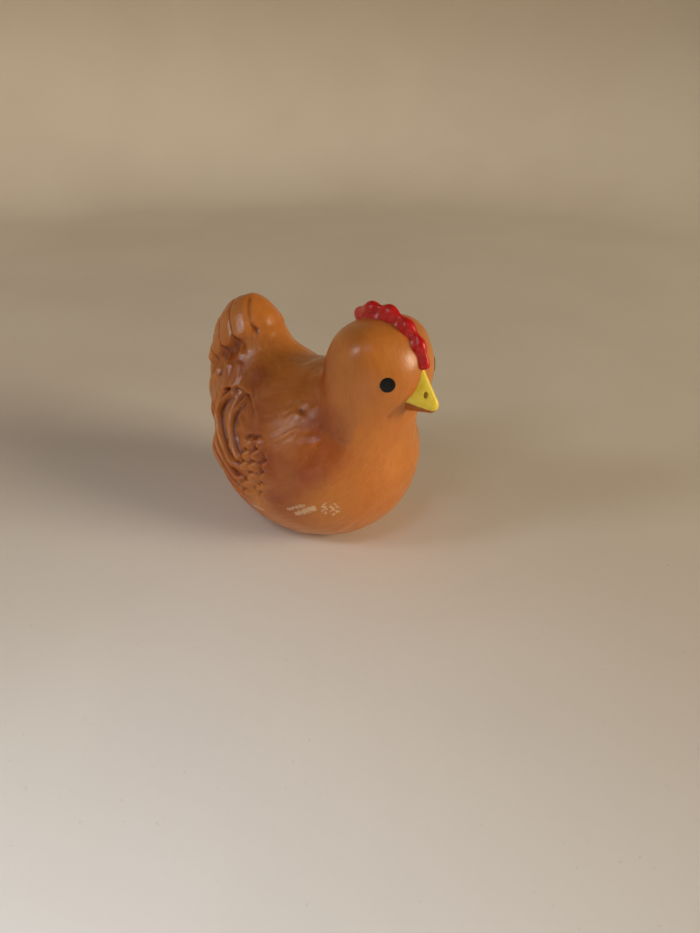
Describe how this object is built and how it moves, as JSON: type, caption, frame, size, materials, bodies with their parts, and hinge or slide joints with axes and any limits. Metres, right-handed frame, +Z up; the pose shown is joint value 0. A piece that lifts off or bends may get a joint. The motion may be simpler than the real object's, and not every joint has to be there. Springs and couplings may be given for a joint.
{
  "type": "squeeze toy hen",
  "caption": "Small hollow soft-vinyl sitting hen with upright tail, folded wings, red comb and yellow beak; a reed squeaker is plugged into its flat base.",
  "frame": {"origin": "centre of the footprint of the whole hen's box, on the table under it", "axes": "+X forward, the way the beak points; +Y the hen's left side; +Z up; the flat base faces -Z"},
  "size_m": [0.0528, 0.034, 0.0447],
  "materials": {
    "vinyl_skin": "semi-gloss orange-tan soft vinyl",
    "comb_paint": "glossy red sprayed paint over vinyl",
    "beak_paint": "glossy yellow sprayed paint over vinyl",
    "eye_paint": "satin black pad print",
    "squeaker_plastic": "natural moulded polyethylene",
    "reed_plastic": "moulded plastic",
    "reed_film": "thin clear-white film"
  },
  "bodies": {
    "hen": {"body_skin": "vinyl_skin", "comb": "comb_paint", "beak": "beak_paint", "eye_left": "eye_paint", "eye_right": "eye_paint", "squeaker_housing": "squeaker_plastic", "reed_block": "reed_plastic", "reed_foot": "reed_film", "reed_wedge": "reed_plastic"},
    "reed": {"reed_tongue": "reed_film"}
  },
  "joints": [
    {"name": "reed_flutter", "type": "hinge", "parent": "hen", "child": "reed", "pos_m": [-0.0022, 0.00013, 0.00415], "axis": [-1, 0, 0], "range_deg": [0, 12], "stiffness_Nm_per_rad": 0.00002}
  ]
}
